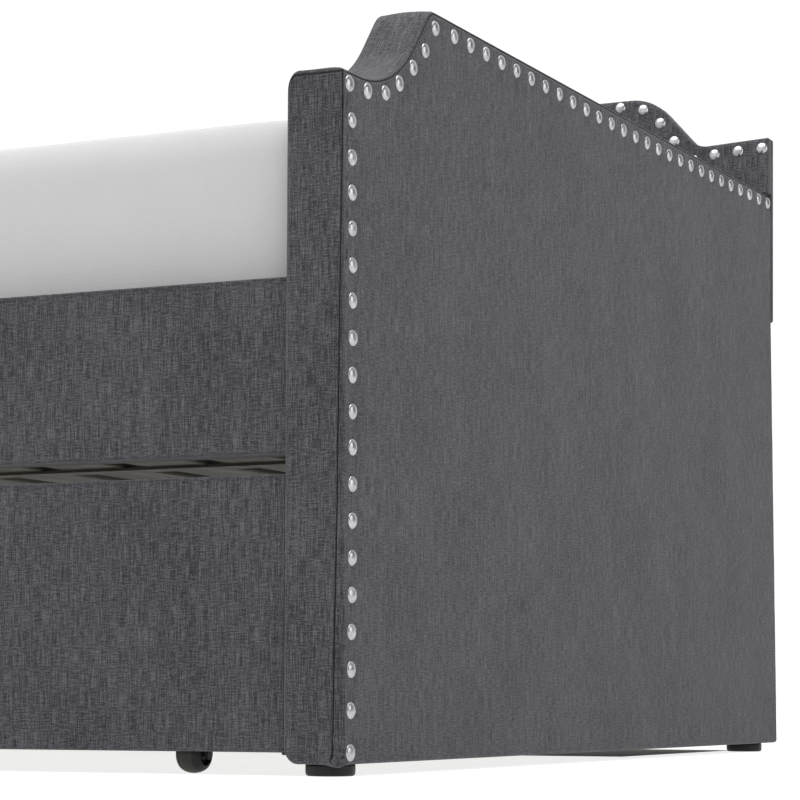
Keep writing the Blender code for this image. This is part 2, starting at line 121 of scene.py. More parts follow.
def ripples(u, v, size, seed, count=9):
    """Smooth random waves about one unit high, each about size long."""
    rng = np.random.default_rng(seed)
    total = np.zeros_like(u)
    for _ in range(count):
        heading = rng.uniform(0, 2 * math.pi)
        wave = 2 * math.pi / size * rng.uniform(0.6, 1.5)
        phase = rng.uniform(0, 2 * math.pi)
        total += np.sin(wave * (u * math.cos(heading) + v * math.sin(heading)) + phase)
    return total / math.sqrt(count)


def s_curve(start, end, low_radius, high_radius, steps=40):
    """Points from start up to end: a hollow arc, a straight slope and a crowned arc."""
    run = end[0] - start[0]
    rise = end[1] - start[1]
    total = low_radius + high_radius
    shallow, steep = 0.0, math.asin(min(1.0, run / total))
    for _ in range(60):
        slope = (shallow + steep) / 2
        left = rise - total * (1 - math.cos(slope))
        if left > math.tan(slope) * (run - total * math.sin(slope)):
            shallow = slope
        else:
            steep = slope
    up = [slope * step / steps for step in range(steps + 1)]
    low = [(start[0] + low_radius * math.sin(a), start[1] + low_radius * (1 - math.cos(a)))
           for a in up]
    high = [(end[0] - high_radius * math.sin(a), end[1] - high_radius * (1 - math.cos(a)))
            for a in reversed(up)]
    return np.array(low + high)


def lean(z):
    """How far back the leaning backrest is at a height."""
    return (z - BACK_LEAN_FROM_Z) * BACK_LEAN


# ---- meshes -----------------------------------------------------------------------------
def box_mapping(mesh):
    """A UV layer in metres: every face is mapped straight on from the axis it faces most."""
    count = len(mesh.polygons)
    normals = np.empty(count * 3)
    mesh.polygons.foreach_get("normal", normals)
    axis = np.abs(normals.reshape(-1, 3)).argmax(1)
    sizes = np.empty(count, int)
    mesh.polygons.foreach_get("loop_total", sizes)
    corner_axis = np.repeat(axis, sizes)
    corner_vertex = np.empty(len(mesh.loops), int)
    mesh.loops.foreach_get("vertex_index", corner_vertex)
    places = np.empty(len(mesh.vertices) * 3)
    mesh.vertices.foreach_get("co", places)
    places = places.reshape(-1, 3)[corner_vertex]
    across = np.where(corner_axis == 0, places[:, 1], places[:, 0])
    along = np.where(corner_axis == 2, places[:, 1], places[:, 2])
    layer = mesh.uv_layers.new(name="cloth")
    layer.data.foreach_set("uv", np.stack([across, along], 1).ravel())


def add_piece(name, points, faces, body, material, painted_seam_shade=None, smooth=True):
    """A mesh as one piece that rides on a CAD body and takes the given material as its finish."""
    mesh = bpy.data.meshes.new(name)
    mesh.from_pydata(np.asarray(points).tolist(), [], faces)
    mesh.materials.append(material)
    # The optional point attribute holds painted shade for the sewn grooves.
    if painted_seam_shade is not None:
        mesh.attributes.new("painted_seam_shade", "FLOAT", "POINT").data.foreach_set("value", painted_seam_shade)
    if smooth:
        mesh.shade_smooth()
    box_mapping(mesh)
    piece = bpy.data.objects.new(name, mesh)
    bpy.context.collection.objects.link(piece)
    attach(piece, body)
    return piece


def corner_arc(u_end, inward, v_end, up, radius):
    """A quarter round from the upright side of an outline to its level side."""
    angle = np.linspace(0, math.pi / 2, ARC_STEPS + 1)
    return np.stack([u_end + inward * radius * (1 - np.cos(angle)),
                     v_end + up * radius * (1 - np.sin(angle))], 1)


def outline_of(columns, rows, low, high, radii):
    """Four matched curves round a board: bottom, right, top and left.

    columns are the u values between the corners, rows the shares of the height, low(u) and
    high(u) the edges, and radii those of the corners: bottom left, bottom right, top left,
    top right.
    """
    u_low, u_high = columns[0], columns[-1]
    inner = columns[1:-1]
    curves = []
    for edge, up, left, right in ((low, 1, radii[0], radii[1]), (high, -1, radii[2], radii[3])):
        middle = np.stack([inner, edge(inner)], 1)
        begin = corner_arc(u_low, 1, edge(np.array([u_low]))[0], up, left)
        finish = corner_arc(u_high, -1, edge(np.array([u_high]))[0], up, right)[::-1]
        curves.append(np.concatenate([begin, middle, finish]))
    bottom, top = curves
    share = rows[:, None]
    left = bottom[0] + (top[0] - bottom[0]) * share
    right = bottom[-1] + (top[-1] - bottom[-1]) * share
    return bottom, right, top, left


def ring_of(outline):
    """The outline's points once round, anticlockwise."""
    bottom, right, top, left = outline
    return np.concatenate([bottom[:-1], right[:-1], top[::-1][:-1], left[::-1][:-1]])


def ring_normals(ring):
    """Outward unit normals of a closed anticlockwise ring."""
    before = ring - np.roll(ring, 1, 0)
    after = np.roll(ring, -1, 0) - ring
    before /= np.linalg.norm(before, axis=1, keepdims=True)
    after /= np.linalg.norm(after, axis=1, keepdims=True)
    along = before + after
    normal = np.stack([along[:, 1], -along[:, 0]], 1)
    return normal / np.linalg.norm(normal, axis=1, keepdims=True)


def fill_ring(ring, across, upward):
    """A grid of points inside a ring, blended from its four sides."""
    bottom = ring[:across + 1]
    right = ring[across:across + upward + 1]
    top = ring[across + upward:2 * across + upward + 1][::-1]
    left = np.concatenate([ring[2 * across + upward:], ring[:1]])[::-1]
    s = ((bottom[:, 0] - bottom[0, 0]) / (bottom[-1, 0] - bottom[0, 0]))[:, None, None]
    t = ((left[:, 1] - left[0, 1]) / (left[-1, 1] - left[0, 1]))[None, :, None]
    corners = ((1 - s) * (1 - t) * bottom[0] + s * (1 - t) * bottom[-1]
               + (1 - s) * t * top[0] + s * t * top[-1])
    return ((1 - t) * bottom[:, None] + t * top[:, None]
            + (1 - s) * left[None] + s * right[None] - corners)


def border_of(numbers):
    """The outer entries of a grid of vertex numbers, in the ring's order."""
    return np.concatenate([numbers[:-1, 0], numbers[-1, :-1], numbers[1:, -1][::-1],
                           numbers[0, 1:][::-1]])


def slab_mesh(outline, rim, flip=False):
    """Points (u, v, w), faces, and which part each point is on: 0 front, 1 rim, 2 back.

    rim is a list of (inset, depth) steps from the front face to the back face, each a
    number or one number for every point of the ring.
    """
    ring = ring_of(outline)
    normal = ring_normals(ring)
    across, upward = len(outline[0]) - 1, len(outline[1]) - 1
    insets = [ring - normal * np.broadcast_to(step[0], len(ring))[:, None] for step in rim]
    depths = [np.broadcast_to(step[1], len(ring)).astype(float) for step in rim]
    front = fill_ring(insets[0], across, upward).reshape(-1, 2)
    back = fill_ring(insets[-1], across, upward).reshape(-1, 2)
    grid = np.arange(len(front)).reshape(across + 1, upward + 1)
    points = [np.column_stack([front, np.full(len(front), depths[0].mean())])]
    loops = [border_of(grid)]
    count = len(front)
    for inset, depth in zip(insets[1:-1], depths[1:-1]):
        points.append(np.column_stack([inset, depth]))
        loops.append(np.arange(count, count + len(ring)))
        count += len(ring)
    back_grid = grid + count
    points.append(np.column_stack([back, np.full(len(back), depths[-1].mean())]))
    loops.append(border_of(back_grid))
    quads = [np.stack([grid[:-1, :-1], grid[1:, :-1], grid[1:, 1:], grid[:-1, 1:]], -1),
             np.stack([back_grid[:-1, :-1], back_grid[:-1, 1:], back_grid[1:, 1:],
                       back_grid[1:, :-1]], -1)]
    for first, second in zip(loops[:-1], loops[1:]):
        quads.append(np.stack([first, second, np.roll(second, -1), np.roll(first, -1)], -1))
    faces = np.concatenate([quad.reshape(-1, 4) for quad in quads])
    if flip:
        faces = faces[:, ::-1]
    part = np.concatenate([np.full(len(p), k) for k, p in
                           ((0, points[0]), (1, np.zeros((count - len(front), 1))),
                            (2, points[-1]))])
    return np.concatenate(points), faces.tolist(), part


def soft_min(*distances, blur=0.02):
    """A smooth smallest value, for the distance to the nearest edge."""
    total = sum(np.exp(-np.clip(d, 0, None) / blur) for d in distances)
    return -blur * np.log(total)


def press_nails(u, v, nails, depth, size):
    """How far each point of a face is pulled in by the nails at (u, v)."""
    pulled = np.zeros_like(u)
    for nail_u, nail_v in nails:
        near = np.hypot(u - nail_u, v - nail_v)
        pulled = np.maximum(pulled, depth * np.exp(-(near / size) ** 2))
    return pulled


def lathe(profile, sides=48):
    """A profile of (along, radius) points turned round the X axis, as points and faces."""
    angle = np.arange(sides) * 2 * math.pi / sides
    profile = np.array(profile)
    points = np.stack([np.broadcast_to(profile[None, :, 0], (sides, len(profile))),
                       profile[None, :, 1] * np.cos(angle)[:, None],
                       profile[None, :, 1] * np.sin(angle)[:, None]], -1).reshape(-1, 3)
    grid = np.arange(len(points)).reshape(sides, len(profile))
    turn = np.roll(grid, -1, 0)
    faces = np.stack([grid[:, :-1], turn[:, :-1], turn[:, 1:], grid[:, 1:]], -1).reshape(-1, 4)
    return points, faces


def tidy_mesh(piece):
    """Merge the points that a lathe leaves on its axis and turn every face outwards."""
    work = bmesh.new()
    work.from_mesh(piece.data)
    bmesh.ops.remove_doubles(work, verts=work.verts, dist=1e-6)
    bmesh.ops.dissolve_degenerate(work, edges=work.edges, dist=1e-7)
    bmesh.ops.recalc_face_normals(work, faces=work.faces)
    work.to_mesh(piece.data)
    work.free()


# ---- materials --------------------------------------------------------------------------
class Nodes:
    """Short calls for building one material's node tree."""

    def __init__(self, name, roughness, specular=0.5, metallic=0.0, sheen=0.0):
        self.material = bpy.data.materials.new(name)
        self.material.use_nodes = True
        self.tree = self.material.node_tree
        self.shader = self.tree.nodes["Principled BSDF"]
        self.shader.inputs["Roughness"].default_value = roughness
        self.shader.inputs["Specular IOR Level"].default_value = specular
        self.shader.inputs["Metallic"].default_value = metallic
        self.shader.inputs["Sheen Weight"].default_value = sheen
        self.shader.inputs["Sheen Roughness"].default_value = 0.5

    def link(self, source, node, socket):
        if isinstance(source, (int, float, tuple)):
            node.inputs[socket].default_value = source
        else:
            self.tree.links.new(source, node.inputs[socket])

    def coordinates(self, kind, scale, turn=(0, 0, 0)):
        source = self.tree.nodes.new("ShaderNodeTexCoord").outputs[kind]
        mapping = self.tree.nodes.new("ShaderNodeMapping")
        mapping.inputs["Scale"].default_value = scale
        mapping.inputs["Rotation"].default_value = turn
        self.tree.links.new(source, mapping.inputs["Vector"])
        return mapping.outputs["Vector"]

    def noise(self, vector, scale=1.0, detail=2.0, roughness=0.5, distortion=0.0):
        node = self.tree.nodes.new("ShaderNodeTexNoise")
        node.inputs["Scale"].default_value = scale
        node.inputs["Detail"].default_value = detail
        node.inputs["Roughness"].default_value = roughness
        node.inputs["Distortion"].default_value = distortion
        self.tree.links.new(vector, node.inputs["Vector"])
        return node.outputs["Fac"]

    def math(self, operation, first, second=0.0, clamp=False):
        node = self.tree.nodes.new("ShaderNodeMath")
        node.operation = operation
        node.use_clamp = clamp
        self.link(first, node, 0)
        self.link(second, node, 1)
        return node.outputs[0]

    def remap(self, value, low, high, new_low=0.0, new_high=1.0):
        node = self.tree.nodes.new("ShaderNodeMapRange")
        self.link(value, node, "Value")
        for socket, number in (("From Min", low), ("From Max", high), ("To Min", new_low),
                               ("To Max", new_high)):
            node.inputs[socket].default_value = number
        return node.outputs[0]

    def ramp(self, value, *stops):
        node = self.tree.nodes.new("ShaderNodeValToRGB")
        elements = node.color_ramp.elements
        while len(elements) < len(stops):
            elements.new(0.5)
        for element, (place, color) in zip(elements, stops):
            element.position = place
            element.color = (*color, 1.0)
        self.link(value, node, "Fac")
        return node.outputs["Color"]

    def shade(self, color, value):
        """Multiply a colour by a grey value."""
        node = self.tree.nodes.new("ShaderNodeVectorMath")
        node.operation = "SCALE"
        self.link(color, node, 0)
        self.link(value, node, "Scale")
        return node.outputs[0]

    def attribute(self, name):
        node = self.tree.nodes.new("ShaderNodeAttribute")
        node.attribute_name = name
        return node.outputs["Fac"]

    def finish(self, color, bump=None, distance=0.001, strength=1.0, rough=None):
        self.link(color, self.shader, "Base Color")
        if rough is not None:
            self.link(rough, self.shader, "Roughness")
        if bump is not None:
            node = self.tree.nodes.new("ShaderNodeBump")
            node.inputs["Distance"].default_value = distance
            node.inputs["Strength"].default_value = strength
            self.tree.links.new(bump, node.inputs["Height"])
            self.tree.links.new(node.outputs["Normal"], self.shader.inputs["Normal"])
        return self.material


def linen_material(name, tint, contrast):
    """Slubby two-tone weave: long upright streaks crossed by shorter level ones, with painted
    shade in the sewn grooves.
    """
    n = Nodes(name, roughness=0.92, specular=0.20, sheen=0.12)
    upright = n.noise(n.coordinates("UV", (820, 44, 1)), detail=1.0, roughness=0.6)
    level = n.noise(n.coordinates("UV", (80, 700, 1)), detail=1.0, roughness=0.6)
    speck = n.noise(n.coordinates("UV", (560, 620, 1)), detail=1.0, roughness=0.7)
    slub = n.noise(n.coordinates("UV", (240, 9, 1)), detail=1.0)
    cloud = n.noise(n.coordinates("UV", (9, 6, 1)), detail=2.0)
    threads = n.math("ADD", n.math("MULTIPLY", upright, 0.36), n.math("MULTIPLY", level, 0.30))
    threads = n.math("ADD", threads, n.math("MULTIPLY", speck, 0.34))
    slubs = n.remap(slub, 0.40, 0.72, -0.05, 0.14)
    tone = n.math("ADD", n.remap(threads, 0.43, 0.65), slubs)
    tone = n.math("ADD", tone, n.remap(cloud, 0.3, 0.7, -0.07, 0.07))
    low = tuple(c * (1 - contrast) for c in tint)
    high = tuple(c * (1 + 2 * contrast) for c in tint)
    color = n.ramp(tone, (0.0, low), (0.33, tint), (1.0, high))
    # Painted shade for the sewn grooves and the cross seam: the point attribute darkens the
    # colour down to a quarter where it is 1.
    color = n.shade(color, n.remap(n.attribute("painted_seam_shade"), 0.0, 1.0, 1.0, 0.25))
    return n.finish(color, bump=threads, distance=0.0012, strength=0.55)


def ticking_material():
    """Close white knit with a faint diamond of raised loops."""
    n = Nodes("white_knit_ticking", roughness=0.85, specular=0.25, sheen=0.15)
    fine = n.noise(n.coordinates("Object", (900, 900, 900)), detail=1.0)
    soft = n.noise(n.coordinates("Object", (14, 14, 14)), detail=2.0)
    rib = n.noise(n.coordinates("Object", (260, 260, 700)), detail=1.0)
    tone = n.math("ADD", n.math("MULTIPLY", fine, 0.5), n.math("MULTIPLY", soft, 0.5))
    color = n.ramp(tone, (0.3, (0.455, 0.455, 0.46)), (0.7, (0.485, 0.485, 0.49)))
    return n.finish(color, bump=n.math("ADD", fine, rib), distance=0.0005, strength=0.35)


def wood_material(name, along, pale, dark, roughness=0.6):
    """Sawn wood with its grain along one axis: 0 for X, 1 for Y, 2 for Z."""
    n = Nodes(name, roughness=roughness, specular=0.35)
    stretch = [70.0, 70.0, 70.0]
    stretch[along] = 3.0
    wide = [16.0, 16.0, 16.0]
    wide[along] = 0.8
    grain = n.noise(n.coordinates("Object", stretch), detail=4.0, roughness=0.6, distortion=0.3)
    figure = n.noise(n.coordinates("Object", wide), detail=3.0, distortion=1.2)
    pores = [400.0, 400.0, 400.0]
    pores[along] = 14.0
    pore = n.noise(n.coordinates("Object", pores), detail=1.0)
    tone = n.math("ADD", n.math("MULTIPLY", grain, 0.55), n.math("MULTIPLY", figure, 0.45))
    middle = tuple((a + b) / 2 for a, b in zip(pale, dark))
    color = n.ramp(tone, (0.35, dark), (0.5, middle), (0.65, pale))
    color = n.shade(color, n.remap(pore, 0.30, 0.42, 0.72, 1.0))
    rough = n.remap(grain, 0.3, 0.7, roughness - 0.1, min(1.0, roughness + 0.15))
    return n.finish(color, bump=n.math("ADD", grain, pore), distance=0.0006, strength=0.4,
                    rough=rough)


def grained_material(name, pale, dark, roughness, metallic=0.0, scale=300.0, bump=0.0002):
    """Moulded plastic, rubber or painted steel: a fine grain with rubbed patches."""
    n = Nodes(name, roughness=roughness, specular=0.28, metallic=metallic)
    grain = n.noise(n.coordinates("Object", (scale, scale, scale)), detail=2.0)
    patch = n.noise(n.coordinates("Object", (45, 45, 45)), detail=3.0)
    color = n.ramp(patch, (0.35, dark), (0.65, pale))
    rough = n.remap(patch, 0.3, 0.7, roughness - 0.08, roughness + 0.10)
    return n.finish(color, bump=grain, distance=bump, strength=0.5, rough=rough)


def nail_material():
    """Polished nickel with a slightly uneven pressed surface."""
    n = Nodes("polished_nailheads", roughness=0.26, metallic=1.0)
    dents = n.noise(n.coordinates("Object", (260, 260, 260)), detail=1.0)
    patch = n.noise(n.coordinates("Object", (120, 120, 120)), detail=2.0)
    color = n.ramp(patch, (0.3, (0.34, 0.34, 0.35)), (0.7, (0.52, 0.52, 0.53)))
    return n.finish(color, bump=dents, distance=0.0004, strength=0.5,
                    rough=n.remap(patch, 0.3, 0.7, 0.20, 0.36))


LINEN = linen_material("charcoal_linen", (0.0510, 0.0500, 0.0560), 0.60)
TICKING = ticking_material()
NAIL = nail_material()
SLAT_WOOD = wood_material("slat_wood", 1, (0.36, 0.32, 0.25), (0.24, 0.21, 0.16))
# Painted shade: the bed's slats take the slat wood darkened to about a third, for the shade
# beneath the mattress.
BED_SLAT_WOOD_PAINTED_SHADE = wood_material("slat_wood_painted_shade", 1, (0.13, 0.12, 0.095), (0.07, 0.064, 0.05))
BOARD_WOOD = wood_material("board_wood", 0, (0.36, 0.32, 0.25), (0.24, 0.21, 0.16))
PLYWOOD = wood_material("plywood", 0, (0.58, 0.44, 0.29), (0.44, 0.31, 0.19))
BLACK_PLASTIC = grained_material("black_plastic", (0.009, 0.009, 0.010), (0.005, 0.005, 0.006),
                                 0.50)
TREAD = grained_material("olive_tread", (0.034, 0.033, 0.026), (0.020, 0.019, 0.015), 0.55,
                         scale=500.0)
BLACK_STEEL = grained_material("black_steel", (0.035, 0.035, 0.036), (0.018, 0.018, 0.019),
                               0.42, metallic=0.6, scale=600.0)


# ---- nailheads --------------------------------------------------------------------------
def nail_dome():
    """Points and faces of one domed nailhead that stands up along +X from x = 0."""
    angle = np.linspace(math.pi / 2, 0, 7)
    profile = [(NAIL_HEIGHT * math.sin(a), NAIL_RADIUS * math.cos(a) ** 0.92 + 1e-9)
               for a in angle]
    profile += [(-0.0006, NAIL_RADIUS * 0.97), (-0.0006, 0.0)]
    return lathe(profile, NAIL_FACETS)


def add_nailheads(name, seats, outward, body):
    """One mesh of all the domes on a board. seats are their centres, outward their axis."""
    dome, faces = nail_dome()
    rng = np.random.default_rng(len(seats) + 7)
    axis = np.array(outward, float)
    points, quads = [], []
    for number, seat in enumerate(seats):
        lean = axis + rng.normal(0, 0.035, 3)
        lean /= np.linalg.norm(lean)
        side = np.cross(lean, (0, 0, 1.0))
        side /= np.linalg.norm(side)
        upward = np.cross(side, lean)
        size = rng.uniform(0.97, 1.03)
        turned = dome[:, :1] * lean + dome[:, 1:2] * side * size + dome[:, 2:] * upward * size
        points.append(turned + np.array(seat))
        quads.append(faces + number * len(dome))
    piece = add_piece(name, np.concatenate(points), np.concatenate(quads).tolist(), body,
                      NAIL)
    tidy_mesh(piece)
    piece.data.shade_smooth()
    return piece


# ---- arms -------------------------------------------------------------------------------
def arm_top(y, high):
    """Height of the arm's top at each y."""
    curve = s_curve((ARM_RISE_START_Y, ARM_LOW_Z), (ARM_RISE_END_Y, high), ARM_LOW_RADIUS,
                    ARM_HIGH_RADIUS)
    return np.interp(y, curve[:, 0], curve[:, 1])


def arm_nails():
    """Centres of an arm's nails as (y, z): down the front edge, then back along the top."""
    column_z = [0.6969, 0.6565, 0.6184, 0.5794, 0.5402, 0.5020, 0.4620, 0.4222, 0.3832, 0.3453,
                0.3061, 0.2674, 0.2282, 0.1895, 0.1505, 0.1112, 0.0686, 0.0249]
    column_y = np.interp(column_z, (0.025, 0.110, 0.180, 0.340, 0.500, 0.697),
                         (-0.7290, -0.7277, -0.7266, -0.7263, -0.7270, -0.7300))
    hump = [(-0.7362, 0.7358), (-0.6923, 0.7366), (-0.6480, 0.7437), (-0.6126, 0.7618),
            (-0.5771, 0.7873), (-0.5448, 0.8141), (-0.5174, 0.8463)]
    row_y = np.linspace(-0.4645, ARM_LAST_NAIL_Y, 27)
    row_y += np.interp(row_y, (-0.4645, 0.0, 0.4, ARM_LAST_NAIL_Y), (0.0, 0.0060, 0.0045, 0.0))
    row_z = np.interp(row_y, (-0.4645, -0.200, 0.000, 0.250, 0.450, ARM_LAST_NAIL_Y),
                      (0.8487, 0.8480, 0.8455, 0.8450, 0.8475, 0.8525))
    return list(zip(column_y, column_z)) + hump + list(zip(row_y, row_z))


def arm_rim(ring, normal, thickness):
    """Steps round an arm: side panel, its soft outer edge, sewn groove and crowned band.

    The groove runs up the front edge and along the top.  Down the front it drifts inwards
    and the outer edge grows rounder.  Also returns how much groove each point has.
    """
    level = ring[:, 1]
    rear = normal[:, 0].clip(0, 1) ** 2
    bottom = (-normal[:, 1]).clip(0, 1) ** 2
    front = normal[:, 0].clip(-1, 0) ** 2 * np.clip((0.754 - level) / 0.006, 0, 1)
    top = 1 - rear - bottom - front
    side = front + bottom + rear
    grow = np.clip((0.745 - level) / 0.72, 0, 1)
    drift = np.interp(level, (0.0125, 0.13, 0.27, 0.50, 0.737),
                      (0.0104, 0.0096, 0.0068, 0.0042, 0.0004))
    edge_w = np.maximum(drift - 0.0009, 0.0002) * front + 0.0050 * bottom + 0.0020 * rear
    edge_in = (0.0022 + 0.0078 * grow) * front + 0.0060 * bottom + 0.0025 * rear
    sewn = np.clip(top + front, 0, 1)
    share = np.exp(-((level - ARM_SEAM_Z) / 0.0010) ** 2) * (normal[:, 0] < -0.9)
    cross = 0.0018 * share
    steps = []
    on_top = ((0.0100, 0.0), (0.0088, 0.0001), (0.0078, 0.0003), (0.0071, 0.0007),
              (0.0066, 0.0012), (0.0062, 0.0019))
    for angle, (top_in, top_w) in zip(np.linspace(0, math.pi / 2, 6), on_top):
        steps.append((edge_in * (1 - math.sin(angle)) + top * top_in,
                      edge_w * (1 - math.cos(angle)) + top * top_w))
    groove = ((0.0013, 0.0004, 0.0060, 0.0030), (0.0028, 0.0008, 0.0056, 0.0031),
              (0.0028, 0.0012, 0.0051, 0.0022), (0.0010, 0.0017, 0.0045, 0.0018))
    for side_in, side_w, top_in, top_w in groove:
        steps.append((sewn * side * side_in + top * top_in,
                      edge_w + side * side_w + top * top_w))
    band = ((0.0024, 0.0036, 0.0024), (0.0042, 0.0026, 0.0036), (0.0066, 0.0016, 0.0058),
            (0.0100, 0.0008, 0.0090), (0.0140, 0.0003, 0.0134), (0.0190, 0.0, 0.0188))
    for side_w, top_in, top_w in band:
        steps.append((top * top_in + cross, side * (edge_w + side_w) + top * top_w))
    for w in (0.0320, 0.0370, 0.0430, 0.0490, 0.0540, 0.0570, 0.0595, 0.0618, 0.0637):
        steps.append((cross, np.full_like(level, w)))
    for angle in np.linspace(0, math.pi / 2, 7):
        steps.append((ARM_INNER_ROUND * (1 - math.cos(angle)) + cross * math.cos(angle),
                      thickness - ARM_INNER_ROUND * (1 - math.sin(angle))))
    return steps, share, sewn


def arm_painted_seam_shade(total, first, step_count, cross, sewn):
    """Painted shade at every point, standing in for the shade in the groove, then along the
    band's cross seam.
    """
    painted_seam_shade = np.zeros(total)
    count = len(sewn)
    # Painted shade in rim steps 6 to 9, which make the groove; the later steps get the cross
    # seam's painted shade.
    groove = {6: 0.55, 7: 1.0, 8: 1.0, 9: 0.55}
    for step in range(min(groove), step_count):
        shade = groove[step] * sewn if step in groove else cross * 0.9
        painted_seam_shade[first + (step - 1) * count:first + step * count] = shade
    return painted_seam_shade


def pinch_corner(points, thickness, edge, fade, reach, drop, up):
    """Round the inner corner at the front of an arm: reach across it and drop up or down.

    edge is the height of the corner, up is 1 for the top and -1 for the bottom.
    """
    share = np.clip((points[:, 2] - (thickness - reach)) / reach, 0, 1)
    limit = drop * (1 - np.sqrt(1 - share ** 2)) * fade
    depth = up * (edge - points[:, 1])
    scope = drop * 1.8
    moved = limit * np.clip(1 - depth / scope, 0, 1)
    points[:, 1] -= up * moved


def bunch_corner(points, center, seed):
    """Gathered cloth at a bottom corner, with the fold hanging a little lower."""
    away = np.linalg.norm(points - np.array(center), axis=1)
    near = np.exp(-(away / 0.024) ** 2)
    folds = ripples(points[:, 0] + 0.4 * points[:, 2], points[:, 1] - 0.5 * points[:, 2],
                    0.013, seed)
    points[:, 0] += near * folds * 0.0018
    points[:, 2] += near * np.abs(folds) * 0.0020
    low = np.exp(-((points[:, 0] - center[0]) / 0.012) ** 2)
    low *= np.exp(-((points[:, 2] - center[2]) / 0.012) ** 2)
    low *= np.exp(-(np.clip(points[:, 1] - center[1], 0, 1) / 0.014) ** 2)
    points[:, 1] -= low * 0.0042


def build_arm(label, side):
    """One arm's upholstery and nails; side is 1 for the right arm and -1 for the left."""
    low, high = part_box(f"arm_{label}_cover")
    outer = side * max(abs(low.x), abs(high.x))
    thickness = high.x - low.x
    rear = ARM_REAR_Y
    columns = graded((low.y, low.y + 0.012, 0.012), (low.y + 0.012, -0.700, 0.0042),
                     (-0.700, rear - 0.006, 0.0062), (rear - 0.006, rear, 0.006))
    height = ARM_LOW_Z - low.z - 0.010 - 0.005
    rows = graded((0, 0.030, 0.0032), (0.030, 0.100, 0.007), (0.100, height - 0.050, 0.0105),
                  (height - 0.050, height - 0.006, 0.0044), (height - 0.006, height, 0.0008))
    outline = outline_of(columns, rows / height, lambda y: np.full_like(y, low.z),
                         lambda y: arm_top(y, high.z), (0.010, 0.004, 0.005, 0.003))
    ring = ring_of(outline)
    steps, cross, sewn = arm_rim(ring, ring_normals(ring), thickness)
    points, faces, part = slab_mesh(outline, steps, flip=side < 0)
    y, z = points[:, 0].copy(), points[:, 1].copy()
    nails = arm_nails()
    edge = soft_min(y - low.y, rear - y, z - low.z, arm_top(y, high.z) - z)
    relief = 0.0007 * np.exp(-np.clip(edge - 0.006, 0, 1) / 0.045)
    relief += press_nails(y, z, nails, NAIL_PULL, NAIL_PULL_REACH)
    relief += 0.0004 * ripples(y, z, 0.30, 3) * np.clip(edge / 0.05, 0, 1)
    relief += 0.0002 * ripples(y, z, 0.055, 5) * np.exp(-((edge - 0.016) / 0.014) ** 2)
    is_front = part == 0
    points[is_front, 2] += relief[is_front]
    rim_points = part == 1
    band = np.clip(1 - points[:, 2] / 0.006, 0, 1) * rim_points
    points[:, 2] += band * np.clip(relief, 0, 0.0012)
    puff = rim_points & (points[:, 2] > 0.007)
    lift = 0.0007 * ripples(y + points[:, 2], z - points[:, 2], 0.090, 11)
    points[puff, 1] += lift[puff] * np.clip((z[puff] - 0.70) / 0.03, 0, 1)
    at_front = np.clip((ARM_CORNER_FROM_Y - y) / ARM_CORNER_FADE, 0, 1)
    pinch_corner(points, thickness, ARM_LOW_Z, at_front, *ARM_TOP_CORNER, 1)
    pinch_corner(points, thickness, low.z, at_front, *ARM_BOTTOM_CORNER, -1)
    bunch_corner(points, (low.y + 0.003, low.z + 0.002, 0.010), 21)
    at_rear = np.clip((y - ARM_LEAN_FROM_Y) / (rear - ARM_LEAN_FROM_Y), 0, 1)
    points[:, 0] += np.clip(lean(z), 0, 1) * at_rear
    # Painted shade for the groove and cross seam, stored on the points for the linen material.
    painted_seam_shade = arm_painted_seam_shade(len(points), int(is_front.sum()), len(steps), cross, sewn)
    placed = np.stack([outer - side * points[:, 2], points[:, 0], points[:, 1]], 1)
    arm = add_piece(f"arm_{label}_upholstery", placed, faces, "daybed", LINEN,
                    painted_seam_shade)
    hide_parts(f"arm_{label}_cover", f"arm_{label}_frame")
    seats = [(outer - side * NAIL_SINK, y, z) for y, z in nails]
    add_nailheads(f"arm_{label}_nailheads", seats, (side, 0, 0), "daybed")


# ---- backrest ---------------------------------------------------------------------------
def back_top(x, half, high):
    """Height of the backrest's top at each x: two low shoulders and a level crest."""
    curve = s_curve((BACK_RISE_START, BACK_LOW_Z), (BACK_RISE_END, high), BACK_LOW_RADIUS,
                    BACK_HIGH_RADIUS)
    reach = half - np.abs(x)
    fall = (BACK_END_Z - BACK_LOW_Z) * (1 - reach / BACK_RISE_START).clip(0, 1)
    return np.interp(reach, curve[:, 0], curve[:, 1]) + fall


def back_nails(half, center_gap):
    """Centres of the backrest's nails as (x, z) along its top edge."""
    right = list(BACK_NAIL_STARTS)
    reach, z = right[-1]
    while half - reach - BACK_NAIL_PITCH > center_gap / 2 - 0.001:
        reach += BACK_NAIL_PITCH
        right.append((reach, z))
    return [(half - u, z) for u, z in right] + [(u - half, z) for u, z in right]


def board_rim(depth, front_round, back_round, steps=5):
    """Steps round a plain wrapped board: rounded front edge, straight side, rounded back.

    front_round is a number, or one for every point of the ring.
    """
    rim = []
    for angle in np.linspace(0, math.pi / 2, steps + 1):
        rim.append((front_round * (1 - math.sin(angle)), front_round * (1 - math.cos(angle))))
    straight = depth - back_round - front_round
    for share in (0.2, 0.4, 0.6, 0.8):
        rim.append((0.0, front_round + straight * share))
    for angle in np.linspace(0, math.pi / 2, 4):
        rim.append((back_round * (1 - math.cos(angle)),
                    depth - back_round * (1 - math.sin(angle))))
    return rim


